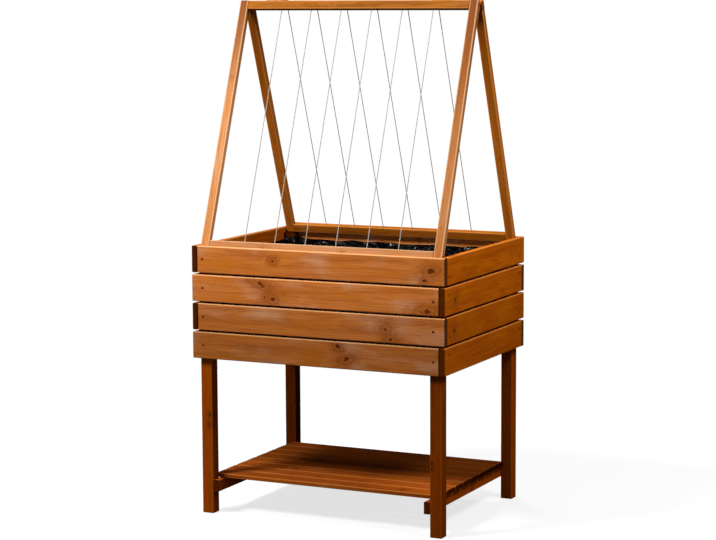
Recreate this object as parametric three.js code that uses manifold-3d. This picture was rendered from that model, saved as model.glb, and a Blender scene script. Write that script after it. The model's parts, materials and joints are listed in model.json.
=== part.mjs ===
// A raised wooden planter. A box of boards stands on four corner posts, with a slatted shelf near their
// feet, a boarded floor and a film liner in the box, and a trellis over it: two strung frames, hinged
// together at the ridge, that lean against each other and stand on the tops of the posts.
// Millimetres, +Z up. X runs along the box, its front faces -Y, and the origin is on the ground under
// the middle of the box.

import * as THREE from "three";
import { mergeVertices } from "three/addons/utils/BufferGeometryUtils.js";
import Module from "manifold-3d";

const wasm = await Module();
wasm.setup();

// Clearances
const seat = 0.3; // between a piece and what carries or holds it
const cutOverrun = 2; // how far a cutting shape runs out past a face

// The box: courses of boards, each board butting against one neighbour and running over the other
const boxLength = 800;
const boxDepth = 600;
const rimHeight = 794;
const courseCount = 4;
const boardWidth = 78.5;
const boardThickness = 16;
const courseGap = 5.5;
const boardEndGap = 2;
const boardEase = 3;
const endEase = 1;

// The corner posts, just behind the boards
const postSize = 36;
const postDrop = 15.5; // from the rim down to a post's top
const postEase = 2.5;

// The floor of the box: boards across two ledgers
const floorBoardCount = 6;
const floorBoardThickness = 16;
const floorBoardGap = 8;
const floorPlay = 1.5; // between the floor and the walls or posts round it
const floorEase = 1.5;
const ledgerThickness = 24;
const ledgerHeight = 34;
const ledgerRise = 3; // from the lowest board's lower edge up to a ledger
const ledgerScrewCount = 3;
const ledgerScrewPitch = 280;

// The film liner
const linerThickness = 1.5;
const linerPlay = 0.6; // between the film and the walls or posts round it
const linerDrop = 36; // from the rim down to the liner's edge

// The shelf: slats between the posts, on two cross rails
const shelfHeight = 114;
const slatCount = 8;
const slatThickness = 12.5;
const slatGap = 6;
const slatPlay = 1; // between the outer slats and the posts
const slatOverhang = 10; // past a cross rail's outer face
const slatEase = 2;
const shelfRailWidth = 18;
const shelfRailHeight = 35;
const shelfRailEase = 2;

// The trellis frames
const frameThickness = 18;
const stileLength = 760.5;
const memberWidth = 26;
const memberEase = 2;
const frameSidePlay = 2; // between a frame and the side boards
const footPlay = 2; // between a frame's foot and the front or back boards
const ridgeGap = 1; // from the hinge axis plane to a frame's inner face

// The cord of a frame, laced up and down through holes in both rails, with a groove from hole to hole
const stringCount = 6; // an even number, so that both knots are under the bottom rail
const stringPitch = 97.5;
const cordRadius = 1.5;
const cordPlay = 0.5;
const bendRadius = 4;
const bendSteps = 3;
const knotRadius = 3.4;
const knotLength = 6.5;
const knotTaper = 2;
const knotPlay = 1.2;
const knotSink = 1.5; // from a rail's edge down to the knot in its counterbore

// The two butt hinges on top of the rails
const hingeInset = 115; // from the side of a frame to the middle of its hinge
const hingeLength = 55;
const knuckleCount = 5;
const knuckleGap = 0.6;
const knuckleRadius = 3.8;
const knuckleRelief = 0.4;
const leafThickness = 1.6;
const leafMargin = 1.5; // from a leaf's free edge to a frame's outer face
const leafScrewPitch = 30;
const pinRadius = 1.5;
const pinPlay = 0.35;
const pinHeadRadius = 3;
const pinHeadThickness = 1.2;

// Countersunk screws
const screwSink = 0.6; // how far a head is driven below the wood's face
const boardScrew = { headRadius: 4.2, headHeight: 3, shankRadius: 2, length: 44, tip: 4 };
const slatScrew = { headRadius: 3.6, headHeight: 2.6, shankRadius: 1.7, length: 34, tip: 3 };
const ledgerScrew = { headRadius: 3.6, headHeight: 2.6, shankRadius: 1.7, length: 36, tip: 3 };
const leafScrew = { headRadius: 2.8, headHeight: 1.3, shankRadius: 1.3, length: 14, tip: 3 };
const sideScrewShift = 17; // keeps a side board's screw clear of the front board's in the same post

// Facets
const arcSteps = 1; // each step gives two facets to a quarter circle
const screwSides = 6;
const cordSides = 8;
const cordHoleSides = 6;
const knuckleSides = 10;
const pinSides = 8;

// Heights and half sizes that follow from these
const bearerFace = { x: boxLength / 2 - boardThickness, y: boxDepth / 2 - boardThickness };
const postCentre = { x: bearerFace.x - seat - postSize / 2, y: bearerFace.y - seat - postSize / 2 };
const postInner = { x: postCentre.x - postSize / 2, y: postCentre.y - postSize / 2 };
const postTop = rimHeight - postDrop;
const boxUnderside = rimHeight - courseCount * boardWidth - (courseCount - 1) * courseGap;
const ledgerTop = boxUnderside + ledgerRise + ledgerHeight;
const floorTop = ledgerTop + seat + floorBoardThickness;
const frameHalfWidth = bearerFace.x - frameSidePlay;
const axisRise = knuckleRadius + seat; // from a rail's top edge up to the hinge axis

// A frame leans until its foot's outer corner is footPlay short of the front or back boards
const footReach = bearerFace.y - footPlay;
const outerOffset = ridgeGap + frameThickness;
const footDistance = axisRise + stileLength;
const lean = Math.asin(footReach / Math.hypot(outerOffset, footDistance)) - Math.atan2(outerOffset, footDistance);
const ridgeHeight = postTop + seat + footDistance * Math.cos(lean) - ridgeGap * Math.sin(lean);

const axes = [new THREE.Vector3(1, 0, 0), new THREE.Vector3(0, 1, 0), new THREE.Vector3(0, 0, 1)];
const [xAxis, yAxis, zAxis] = axes;

// Materials

function finish(color, roughness, metalness = 0) {
  return new THREE.MeshStandardMaterial({ color, roughness, metalness, flatShading: true });
}

const oiledBoard = () => finish(0xa8622f, 0.6);
const oiledPost = () => finish(0x6e2f10, 0.65);
const oiledSlat = () => finish(0xb3703f, 0.65);
const paleFrame = () => finish(0xd99a62, 0.6);
const linerFilm = () => finish(0x101012, 0.35);
const hingeSteel = () => finish(0x7a5f4a, 0.45, 0.8);
const twistedCord = () => finish(0xb8b0a4, 0.9);

// Solids

function asSolid(geometry) {
  const bare = geometry.clone();
  bare.deleteAttribute("normal");
  bare.deleteAttribute("uv");
  const merged = mergeVertices(bare);
  const vertProperties = Float32Array.from(merged.attributes.position.array);
  const triVerts = Uint32Array.from(merged.index.array);
  return new wasm.Manifold(new wasm.Mesh({ numProp: 3, vertProperties, triVerts }));
}

function asGeometry(solid) {
  const mesh = solid.getMesh();
  const geometry = new THREE.BufferGeometry();
  geometry.setAttribute("position", new THREE.BufferAttribute(mesh.vertProperties, 3));
  geometry.setIndex(new THREE.BufferAttribute(mesh.triVerts, 1));
  return geometry;
}

function easedRectangle(width, height, ease) {
  const x = width / 2 - ease;
  const y = height / 2 - ease;
  const quarter = Math.PI / 2;
  const outline = new THREE.Shape();
  outline.absarc(x, y, ease, 0, quarter);
  outline.absarc(-x, y, ease, quarter, 2 * quarter);
  outline.absarc(-x, -y, ease, 2 * quarter, 3 * quarter);
  outline.absarc(x, -y, ease, 3 * quarter, 4 * quarter);
  return outline;
}

// A bar of the sizes [x, y, z] about its own middle, with its long edges rounded and its ends bevelled
function bar(sizes, axis, ease, bevel = 0) {
  const [across, up] = [axes[(axis + 1) % 3], axes[(axis + 2) % 3]];
  const outline = easedRectangle(sizes[(axis + 1) % 3], sizes[(axis + 2) % 3], ease);
  const depth = sizes[axis] - 2 * bevel;
  const bevels = { bevelEnabled: bevel > 0, bevelThickness: bevel, bevelSize: bevel, bevelOffset: -bevel };
  const options = { depth, curveSegments: arcSteps, bevelSegments: 1, ...bevels };
  const geometry = new THREE.ExtrudeGeometry(outline, options);
  geometry.translate(0, 0, -depth / 2);
  return geometry.applyMatrix4(new THREE.Matrix4().makeBasis(across, up, axes[axis]));
}

// A profile of [radius, distance] points turned about a line from `at` along `direction`
function turned(profile, sides, at, direction) {
  const points = profile.map(([radius, distance]) => new THREE.Vector2(radius, distance));
  const geometry = new THREE.LatheGeometry(points, sides);
  geometry.applyQuaternion(new THREE.Quaternion().setFromUnitVectors(yAxis, direction));
  return geometry.translate(at.x, at.y, at.z);
}

// Changes a mesh by shapes laid out in its group: each is taken away from it or made part of it
function reshape(mesh, shapes, operation) {
  mesh.updateMatrix();
  const toMesh = mesh.matrix.clone().invert();
  let solid = asSolid(mesh.geometry);
  for (const shape of shapes) {
    solid = solid[operation](asSolid(shape.clone().applyMatrix4(toMesh)));
  }
  mesh.geometry = asGeometry(solid);
}

function cut(mesh, shapes) {
  reshape(mesh, shapes, "subtract");
}

function fuse(mesh, shapes) {
  reshape(mesh, shapes, "add");
}

function addPiece(group, name, geometry, material, place = [0, 0, 0]) {
  const mesh = new THREE.Mesh(geometry, material);
  mesh.name = name;
  mesh.position.set(...place);
  group.add(mesh);
  return mesh;
}

// Drives a countersunk screw with its head at `at`. It is one body with the piece that it holds on to,
// and passes with clearance through holes in the others.
function driveScrew(screw, at, direction, bored, holder) {
  const { headRadius, headHeight, shankRadius, length, tip } = screw;
  const head = at.clone().addScaledVector(direction, screwSink);
  const body = [[0, 0], [headRadius, 0], [shankRadius, headHeight], [shankRadius, length - tip], [0, length]];
  const mouth = screwSink + cutOverrun;
  const flare = (headRadius - shankRadius) / headHeight;
  const hole = [
    [0, -mouth],
    [headRadius + seat + mouth * flare, -mouth],
    [shankRadius + seat, headHeight],
    [shankRadius + seat, length + seat],
    [0, length + seat],
  ];
  cut(bored, [turned(hole, screwSides, head, direction)]);
  fuse(holder, [turned(body, screwSides, head, direction)]);
}

// Posts and boards

function buildPosts(planter) {
  const posts = {};
  for (const [depthName, ySide] of [["front", -1], ["back", 1]]) {
    for (const [sideName, xSide] of [["left", -1], ["right", 1]]) {
      const place = [xSide * postCentre.x, ySide * postCentre.y, postTop / 2];
      const geometry = bar([postSize, postSize, postTop], 2, postEase, endEase);
      const name = `${depthName}_${sideName}_post`;
      posts[`${xSide},${ySide}`] = addPiece(planter, name, geometry, oiledPost(), place);
    }
  }
  return posts;
}

// Each wall is laid out as the front one, facing -Y, and turned into its place. In odd courses its boards
// are pushed towards its right end, in even ones towards its left, so the corners alternate.
function buildWalls(planter, posts) {
  const walls = [
    { name: "front", turn: 0, span: boxLength, reach: boxDepth / 2, screwShift: 0 },
    { name: "right", turn: Math.PI / 2, span: boxDepth, reach: boxLength / 2, screwShift: sideScrewShift },
    { name: "back", turn: Math.PI, span: boxLength, reach: boxDepth / 2, screwShift: 0 },
    { name: "left", turn: -Math.PI / 2, span: boxDepth, reach: boxLength / 2, screwShift: sideScrewShift },
  ];
  const lowest = {};
  for (const wall of walls) {
    const length = wall.span - boardThickness - boardEndGap;
    const inward = yAxis.clone().applyAxisAngle(zAxis, wall.turn);
    for (let course = 1; course <= courseCount; course += 1) {
      const hand = course % 2 === 1 ? 1 : -1;
      const push = (hand * (wall.span - length)) / 2;
      const height = rimHeight - boardWidth / 2 - (course - 1) * (boardWidth + courseGap);
      const middle = new THREE.Vector3(push, boardThickness / 2 - wall.reach, height);
      middle.applyAxisAngle(zAxis, wall.turn);
      const geometry = bar([length, boardThickness, boardWidth], 0, boardEase, endEase);
      const board = addPiece(planter, `${wall.name}_board_${course}`, geometry, oiledBoard(), middle.toArray());
      board.rotation.z = wall.turn;
      for (const end of [-1, 1]) {
        const along = end * (wall.span / 2 - boardThickness - seat - postSize / 2);
        const head = new THREE.Vector3(along, -wall.reach, height - hand * wall.screwShift);
        head.applyAxisAngle(zAxis, wall.turn);
        const post = posts[`${Math.sign(head.x)},${Math.sign(head.y)}`];
        driveScrew(boardScrew, head, inward, board, post);
      }
      lowest[wall.name] = board;
    }
  }
  return lowest;
}

// Floor

function buildFloor(planter, lowestBoards) {
  const ledgerMiddleY = bearerFace.y - seat - ledgerThickness / 2;
  const ledgerLength = 2 * (postInner.x - seat);
  const ledgers = {};
  for (const [name, ySide] of [["front", -1], ["back", 1]]) {
    const geometry = bar([ledgerLength, ledgerThickness, ledgerHeight], 0, floorEase);
    const place = [0, ySide * ledgerMiddleY, ledgerTop - ledgerHeight / 2];
    const ledger = addPiece(planter, `${name}_floor_ledger`, geometry, oiledPost(), place);
    const outward = yAxis.clone().multiplyScalar(ySide);
    for (let index = 0; index < ledgerScrewCount; index += 1) {
      const x = (index - (ledgerScrewCount - 1) / 2) * ledgerScrewPitch;
      const head = new THREE.Vector3(x, ySide * (ledgerMiddleY - ledgerThickness / 2), place[2]);
      driveScrew(ledgerScrew, head, outward, lowestBoards[name], ledger);
    }
    ledgers[ySide] = ledger;
  }

  const floorLength = 2 * (bearerFace.y - floorPlay);
  const floorSpan = 2 * (bearerFace.x - floorPlay);
  const width = (floorSpan - (floorBoardCount - 1) * floorBoardGap) / floorBoardCount;
  const notchSize = postSize + 2 * floorPlay;
  const notch = new THREE.BoxGeometry(notchSize, notchSize, floorBoardThickness + 2 * cutOverrun);
  for (let index = 0; index < floorBoardCount; index += 1) {
    const x = (width - floorSpan) / 2 + index * (width + floorBoardGap);
    const place = [x, 0, floorTop - floorBoardThickness / 2];
    const geometry = bar([width, floorLength, floorBoardThickness], 1, floorEase);
    const board = addPiece(planter, `floor_board_${index + 1}`, geometry, oiledPost(), place);
    if (index === 0 || index === floorBoardCount - 1) {
      const postX = Math.sign(x) * postCentre.x;
      cut(board, [-1, 1].map((ySide) => notch.clone().translate(postX, ySide * postCentre.y, place[2])));
    }
    for (const ySide of [-1, 1]) {
      const head = new THREE.Vector3(x, ySide * ledgerMiddleY, floorTop);
      driveScrew(slatScrew, head, zAxis.clone().negate(), board, ledgers[ySide]);
    }
  }
}

// Liner

// The inside of the box as seen from above, drawn in by `inset`, with the four posts left out
function linerOutline(inset) {
  const wall = { x: bearerFace.x - inset, y: bearerFace.y - inset };
  const post = { x: postInner.x - inset, y: postInner.y - inset };
  const corner = [[wall.x, -post.y], [wall.x, post.y], [post.x, post.y], [post.x, wall.y]];
  const mirrored = corner.map(([x, y]) => [-x, y]).reverse();
  const backHalf = [...corner.slice(1), ...mirrored.slice(0, 3)];
  const frontHalf = backHalf.map(([x, y]) => [-x, -y]);
  return new THREE.Shape([...backHalf, ...frontHalf].map(([x, y]) => new THREE.Vector2(x, y)));
}

function buildLiner(planter) {
  const bottom = floorTop + seat;
  const height = rimHeight - linerDrop - bottom;
  const outer = new THREE.ExtrudeGeometry(linerOutline(linerPlay), { depth: height, bevelEnabled: false });
  const hollowDepth = height - linerThickness + cutOverrun;
  const hollowOutline = linerOutline(linerPlay + linerThickness);
  const hollow = new THREE.ExtrudeGeometry(hollowOutline, { depth: hollowDepth, bevelEnabled: false });
  hollow.translate(0, 0, bottom + linerThickness);
  const liner = addPiece(planter, "liner", outer, linerFilm(), [0, 0, bottom]);
  cut(liner, [hollow]);
}

// Shelf

function buildShelf(planter, posts) {
  const railX = postInner.x - seat - shelfRailWidth / 2;
  const railTop = shelfHeight - slatThickness - seat;
  const railHeight = railTop - shelfRailHeight / 2;
  const rails = {};
  for (const [name, xSide] of [["left", -1], ["right", 1]]) {
    const sizes = [shelfRailWidth, 2 * (postCentre.y + postSize / 2), shelfRailHeight];
    const place = [xSide * railX, 0, railHeight];
    const rail = addPiece(planter, `${name}_shelf_rail`, bar(sizes, 1, shelfRailEase), oiledPost(), place);
    const outward = xAxis.clone().multiplyScalar(xSide);
    for (const ySide of [-1, 1]) {
      const head = new THREE.Vector3(xSide * (railX - shelfRailWidth / 2), ySide * postCentre.y, railHeight);
      driveScrew(boardScrew, head, outward, posts[`${xSide},${ySide}`], rail);
    }
    rails[xSide] = rail;
  }

  const shelfSpan = 2 * (postInner.y - slatPlay);
  const slatWidth = (shelfSpan - (slatCount - 1) * slatGap) / slatCount;
  const slatLength = 2 * (railX + shelfRailWidth / 2 + slatOverhang);
  for (let index = 0; index < slatCount; index += 1) {
    const y = (slatWidth - shelfSpan) / 2 + index * (slatWidth + slatGap);
    const place = [0, y, shelfHeight - slatThickness / 2];
    const geometry = bar([slatLength, slatWidth, slatThickness], 0, slatEase);
    const slat = addPiece(planter, `shelf_slat_${index + 1}`, geometry, oiledSlat(), place);
    for (const xSide of [-1, 1]) {
      const head = new THREE.Vector3(xSide * railX, y, shelfHeight);
      driveScrew(slatScrew, head, zAxis.clone().negate(), slat, rails[xSide]);
    }
  }
}

// Trellis

// The middle of a frame's cord, in the frame's own plane: up one hole and down the next
function cordRoute() {
  const top = -axisRise - seat - cordRadius;
  const bottom = -axisRise - stileLength + seat + cordRadius;
  const knotEnd = -axisRise - stileLength + knotSink;
  const knot = [[0, cordRadius], [knotTaper, knotRadius], [knotLength - knotTaper, knotRadius]];
  knot.push([knotLength, cordRadius]);
  const route = knot.map(([rise, radius]) => ({ x: stringX(0), z: knotEnd + rise, radius }));
  const bend = (x, z, from, to) => {
    for (let step = 0; step <= bendSteps; step += 1) {
      const angle = from + ((to - from) * step) / bendSteps;
      const point = { x: x + bendRadius * Math.cos(angle), z: z + bendRadius * Math.sin(angle) };
      route.push({ ...point, radius: cordRadius });
    }
  };
  for (let index = 0; index < stringCount - 1; index += 1) {
    const rising = index % 2 === 0;
    const z = rising ? top - bendRadius : bottom + bendRadius;
    const middle = rising ? Math.PI / 2 : -Math.PI / 2;
    bend(stringX(index) + bendRadius, z, 2 * middle, middle);
    bend(stringX(index + 1) - bendRadius, z, middle, 0);
  }
  const last = knot.map(([rise, radius]) => ({ x: stringX(stringCount - 1), z: knotEnd + rise, radius }));
  return [...route, ...last.reverse()];
}

function stringX(index) {
  return (index - (stringCount - 1) / 2) * stringPitch;
}

// A closed tube along a route in the plane at y, with its rings set square to each bend
function planarTube(route, y) {
  const rings = route.map((point, index) => {
    const before = route[Math.max(index - 1, 0)];
    const after = route[Math.min(index + 1, route.length - 1)];
    const arriving = new THREE.Vector2(point.x - before.x, point.z - before.z).normalize();
    const leaving = new THREE.Vector2(after.x - point.x, after.z - point.z).normalize();
    const along = arriving.clone().add(leaving).normalize();
    const mitre = 1 / Math.max(along.dot(arriving), along.dot(leaving));
    return { ...point, nx: -along.y * mitre, nz: along.x * mitre };
  });
  const positions = [];
  for (const { x, z, nx, nz, radius } of rings) {
    for (let side = 0; side < cordSides; side += 1) {
      const angle = (2 * Math.PI * side) / cordSides;
      const across = radius * Math.cos(angle);
      positions.push(x + nx * across, y + radius * Math.sin(angle), z + nz * across);
    }
  }
  const faces = [];
  for (let side = 0; side < cordSides; side += 1) {
    const next = (side + 1) % cordSides;
    for (let start = 0; start < (rings.length - 1) * cordSides; start += cordSides) {
      const [a, b, c, d] = [start + side, start + next, start + cordSides + next, start + cordSides + side];
      faces.push(a, c, b, a, d, c);
    }
    if (side > 0 && next > 0) {
      const end = (rings.length - 1) * cordSides;
      faces.push(0, side, next, end, end + next, end + side);
    }
  }
  const tube = new THREE.BufferGeometry();
  tube.setAttribute("position", new THREE.Float32BufferAttribute(positions, 3));
  tube.setIndex(faces);
  return tube;
}

// The hole that the cord takes through a rail, from the counterbored edge
function cordHoleProfile() {
  const holeRadius = cordRadius + cordPlay;
  const boreRadius = knotRadius + knotPlay;
  const shoulder = knotSink + knotLength + seat;
  return [
    [0, -cutOverrun],
    [boreRadius, -cutOverrun],
    [boreRadius, shoulder],
    [holeRadius, shoulder],
    [holeRadius, memberWidth + cutOverrun],
    [0, memberWidth + cutOverrun],
  ];
}

// The groove along a rail's edge from one hole to the next
function cordGroove(index, y, edge) {
  const depth = 2 * (2 * cordRadius + 2 * seat);
  const groove = new THREE.BoxGeometry(stringPitch, 2 * (cordRadius + cordPlay), depth);
  return groove.translate(stringX(index) + stringPitch / 2, y, edge);
}

function lace(group, name, y, topRail, bottomRail) {
  const down = zAxis.clone().negate();
  const topEdge = -axisRise;
  const bottomEdge = -axisRise - stileLength;
  for (let index = 0; index < stringCount; index += 1) {
    const topHole = new THREE.Vector3(stringX(index), y, topEdge);
    const bottomHole = new THREE.Vector3(stringX(index), y, bottomEdge);
    cut(topRail, [turned(cordHoleProfile(), cordHoleSides, topHole, down)]);
    cut(bottomRail, [turned(cordHoleProfile(), cordHoleSides, bottomHole, zAxis)]);
    if (index < stringCount - 1) {
      const rising = index % 2 === 0;
      cut(rising ? topRail : bottomRail, [cordGroove(index, y, rising ? topEdge : bottomEdge)]);
    }
  }
  addPiece(group, name, planarTube(cordRoute(), y), twistedCord());
}

function hingeLeaf(side) {
  const reach = ridgeGap + frameThickness - leafMargin;
  const plate = new THREE.BoxGeometry(hingeLength, reach, leafThickness);
  plate.translate(0, (side * reach) / 2, leafThickness / 2 - knuckleRadius);
  const pitch = hingeLength / knuckleCount;
  const knuckle = (index, radius, length) => {
    const x = (index - (knuckleCount - 1) / 2) * pitch;
    const cylinder = new THREE.CylinderGeometry(radius, radius, length, knuckleSides);
    return asSolid(cylinder.rotateZ(Math.PI / 2).translate(x, 0, 0));
  };
  let leaf = asSolid(plate);
  for (let index = 0; index < knuckleCount; index += 1) {
    const own = (index % 2 === 0) === (side < 0);
    leaf = own
      ? leaf.add(knuckle(index, knuckleRadius, pitch - knuckleGap))
      : leaf.subtract(knuckle(index, knuckleRadius + knuckleRelief, pitch));
  }
  const boreRadius = pinRadius + pinPlay;
  const bore = new THREE.CylinderGeometry(boreRadius, boreRadius, hingeLength + 2 * cutOverrun, pinSides);
  return asGeometry(leaf.subtract(asSolid(bore.rotateZ(Math.PI / 2))));
}

function hingePin() {
  const tipAt = pinHeadThickness + seat + hingeLength + pinHeadThickness;
  const head = [[0, 0], [pinHeadRadius, 0], [pinHeadRadius, pinHeadThickness], [pinRadius, pinHeadThickness]];
  const profile = [...head, [pinRadius, tipAt], [0, tipAt]];
  const start = new THREE.Vector3(-hingeLength / 2 - seat - pinHeadThickness, 0, 0);
  return turned(profile, pinSides, start, xAxis);
}

// One frame, laid out hanging straight down from the hinge axis and then leant outwards. The front frame
// has both rails between its stiles; the rear one's top rail runs over the ends of its stiles.
function buildFrame(planter, name, side, topRailCapsStiles) {
  const frame = new THREE.Group();
  frame.position.z = ridgeHeight;
  frame.rotation.x = side * lean;
  planter.add(frame);

  const y = side * (ridgeGap + frameThickness / 2);
  const stileX = frameHalfWidth - memberWidth / 2;
  const betweenStiles = 2 * (frameHalfWidth - memberWidth - seat);
  const stileTop = -axisRise - (topRailCapsStiles ? memberWidth + seat : 0);
  const stileBottom = -axisRise - stileLength;
  const topRailLength = topRailCapsStiles ? 2 * frameHalfWidth : betweenStiles;
  const topRailHeight = -axisRise - memberWidth / 2;
  const bottomRailHeight = stileBottom + memberWidth / 2;

  const rail = (part, length, height) => {
    const geometry = bar([length, frameThickness, memberWidth], 0, memberEase);
    return addPiece(frame, `${name}_${part}`, geometry, paleFrame(), [0, y, height]);
  };
  const topRail = rail("top_rail", topRailLength, topRailHeight);
  const bottomRail = rail("bottom_rail", betweenStiles, bottomRailHeight);

  for (const [sideName, xSide] of [["left", -1], ["right", 1]]) {
    const geometry = bar([memberWidth, frameThickness, stileTop - stileBottom], 2, memberEase);
    const place = [xSide * stileX, y, (stileTop + stileBottom) / 2];
    const stile = addPiece(frame, `${name}_${sideName}_stile`, geometry, paleFrame(), place);
    const inward = xAxis.clone().multiplyScalar(-xSide);
    const bottomHead = new THREE.Vector3(xSide * frameHalfWidth, y, bottomRailHeight);
    driveScrew(boardScrew, bottomHead, inward, stile, bottomRail);
    if (topRailCapsStiles) {
      const topHead = new THREE.Vector3(xSide * stileX, y, -axisRise);
      driveScrew(boardScrew, topHead, zAxis.clone().negate(), topRail, stile);
    } else {
      const topHead = new THREE.Vector3(xSide * frameHalfWidth, y, topRailHeight);
      driveScrew(boardScrew, topHead, inward, stile, topRail);
    }
  }
  lace(frame, `${name}_cord`, y, topRail, bottomRail);

  for (const [sideName, xSide] of [["left", -1], ["right", 1]]) {
    const hingeX = xSide * (frameHalfWidth - hingeInset);
    const leaf = addPiece(frame, `${sideName}_hinge_${name}_leaf`, hingeLeaf(side), hingeSteel(), [hingeX, 0, 0]);
    for (const end of [-1, 1]) {
      const head = new THREE.Vector3(hingeX + (end * leafScrewPitch) / 2, y, leafThickness - knuckleRadius);
      head.addScaledVector(zAxis, screwSink);
      driveScrew(leafScrew, head, zAxis.clone().negate(), leaf, topRail);
    }
    if (side < 0) {
      addPiece(frame, `${sideName}_hinge_pin`, hingePin(), hingeSteel(), [hingeX, 0, 0]);
    }
  }
}

const planter = new THREE.Group();
const posts = buildPosts(planter);
const lowestBoards = buildWalls(planter, posts);
buildFloor(planter, lowestBoards);
buildLiner(planter);
buildShelf(planter, posts);
buildFrame(planter, "front_frame", -1, false);
buildFrame(planter, "rear_frame", 1, true);

export default planter;
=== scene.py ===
import bmesh
import bpy
import json
import math
import random
from mathutils import Matrix, Vector, noise


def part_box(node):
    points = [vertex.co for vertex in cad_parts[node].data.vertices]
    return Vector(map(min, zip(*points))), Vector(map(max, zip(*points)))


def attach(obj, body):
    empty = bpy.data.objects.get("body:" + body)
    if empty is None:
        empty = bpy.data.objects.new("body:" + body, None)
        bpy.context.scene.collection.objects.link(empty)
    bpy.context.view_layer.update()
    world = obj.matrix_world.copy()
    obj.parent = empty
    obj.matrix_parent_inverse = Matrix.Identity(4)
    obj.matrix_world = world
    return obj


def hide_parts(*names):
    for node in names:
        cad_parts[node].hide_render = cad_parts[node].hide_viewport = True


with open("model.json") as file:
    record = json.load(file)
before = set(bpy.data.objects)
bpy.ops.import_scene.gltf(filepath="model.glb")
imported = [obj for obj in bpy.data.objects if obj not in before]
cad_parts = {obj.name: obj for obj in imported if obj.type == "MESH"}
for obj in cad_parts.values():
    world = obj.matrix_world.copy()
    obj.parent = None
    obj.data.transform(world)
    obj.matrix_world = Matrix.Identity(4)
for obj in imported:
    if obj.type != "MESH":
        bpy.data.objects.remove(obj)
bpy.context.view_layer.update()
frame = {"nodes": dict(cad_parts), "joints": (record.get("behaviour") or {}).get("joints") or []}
nodes = frame["nodes"]
mm = 0.001
xAxis, yAxis, zAxis = Vector((1, 0, 0)), Vector((0, 1, 0)), Vector((0, 0, 1))


# small helpers

def linear(hexText, gain=1.0):
    channels = [int(hexText[i:i + 2], 16) / 255 for i in (1, 3, 5)]
    flat = [c / 12.92 if c <= 0.04045 else ((c + 0.055) / 1.055) ** 2.4 for c in channels]
    return (*[min(1.0, c * gain) for c in flat], 1.0)


def addNode(tree, kind, settings=None, inputs=None):
    # a shader node's kind goes without "ShaderNode"; an input is a value, a socket or a node's first output
    node = tree.nodes.new(kind if "Node" in kind else f"ShaderNode{kind}")
    for name, value in (settings or {}).items():
        setattr(node, name, value)
    for name, value in (inputs or {}).items():
        if isinstance(value, bpy.types.Node):
            value = value.outputs[0]
        if isinstance(value, bpy.types.NodeSocket):
            tree.links.new(value, node.inputs[name])
        else:
            node.inputs[name].default_value = value
    return node


times, plus, timesPlus = ({"operation": name} for name in ("MULTIPLY", "ADD", "MULTIPLY_ADD"))


def newMaterial(name):
    material = bpy.data.materials.new(name)
    material.use_nodes = True
    material.node_tree.nodes.clear()
    return material, material.node_tree


def mottled(tree, scale, detail, first, second):
    # where a point is on its object, a noise there and a colour between two that follows the noise
    where = addNode(tree, "TexCoord").outputs["Object"]
    pattern = addNode(tree, "TexNoise", {}, {"Vector": where, "Scale": scale, "Detail": detail})
    ends = {"Color1": linear(first), "Color2": linear(second)}
    return where, pattern, addNode(tree, "MixRGB", {}, {"Fac": pattern, **ends})


def newObject(name, data):
    made = bpy.data.objects.new(name, data)
    bpy.context.scene.collection.objects.link(made)
    return made


def newPiece(name, mesh, material, body):
    piece = newObject(name, mesh)
    mesh.materials.append(material)
    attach(piece, body)
    return piece


def meshFrom(name, points, faces, smooth=True):
    mesh = bpy.data.meshes.new(name)
    mesh.from_pydata(points, [], faces)
    mesh.polygons.foreach_set("use_smooth", [smooth] * len(mesh.polygons))
    mesh.update()
    return mesh


def middleOf(node):
    low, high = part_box(node)
    return (low + high) / 2


def turnedTo(along, through):
    # the columns are the grain's direction, the way across it and the way out of the face
    return Matrix((along, through.cross(along), through)).transposed()


# The trellis leans by the angle between the middles of a stile and of the bottom rail.

foldJoint = next(joint for joint in frame["joints"] if joint["name"] == "trellis_fold")
ridge = Vector(foldJoint["pos_m"])
railFromStile = middleOf("front_frame_bottom_rail") - middleOf("front_frame_left_stile")
lean = math.atan2(-railFromStile.y, -railFromStile.z)


def leanTurn(side):
    return Matrix.Rotation(side * lean, 3, "X")


def leanPlace(side):
    return Matrix.Translation(ridge) @ leanTurn(side).to_4x4()


# Wood: pine, planed and dipped in a tinted oil. It takes the oil unevenly, so the rings show as soft dark
# lines and the end grain goes nearly black. The rounded edges are paler, partly sanded wear and partly
# painted highlight; on the wall boards only the upper edges are paler, and that is painted highlight. Widths
# are in mm.

boardLook = {
    "pale": "#C27232", "deep": "#904618", "rose": "#C8906A", "amber": "#BA6614",
    "knot": "#521C02", "halo": "#8A4410", "wearAndHighlight": "#E8B47C", "end": "#200502",
    "ringWidth": 3.6, "ringStrength": 0.4, "streakStrength": 0.42, "blotchStrength": 0.85,
    "wearAndHighlightStrength": 0.6, "knotStrength": 0.9, "roughness": (0.5, 0.66), "bump": 0.3, "gloss": 0.05,
}
sideLook = {
    **boardLook, "pale": "#AE5608", "deep": "#843A02", "rose": "#A04804", "amber": "#B26006",
    "wearAndHighlight": "#CC8440", "gloss": 0.0, "knotStrength": 0.85,
}
postLook = {
    **sideLook, "pale": "#8E3E04", "deep": "#662402", "rose": "#883804", "amber": "#924604",
    "wearAndHighlight": "#A4581A", "knot": "#3C1404", "halo": "#5E2A08", "wearAndHighlightStrength": 0.5,
}
shelfLook = {
    **boardLook, "pale": "#863F10", "deep": "#5C2408", "rose": "#86481C", "amber": "#86420C",
    "wearAndHighlight": "#A8642C", "knot": "#3C1404", "halo": "#5C2A06", "ringStrength": 0.45, "knotStrength": 0.7,
    "gloss": 0.0,
}
floorLook = {**shelfLook, "roughness": (0.6, 0.8), "bump": 0.6}
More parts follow.
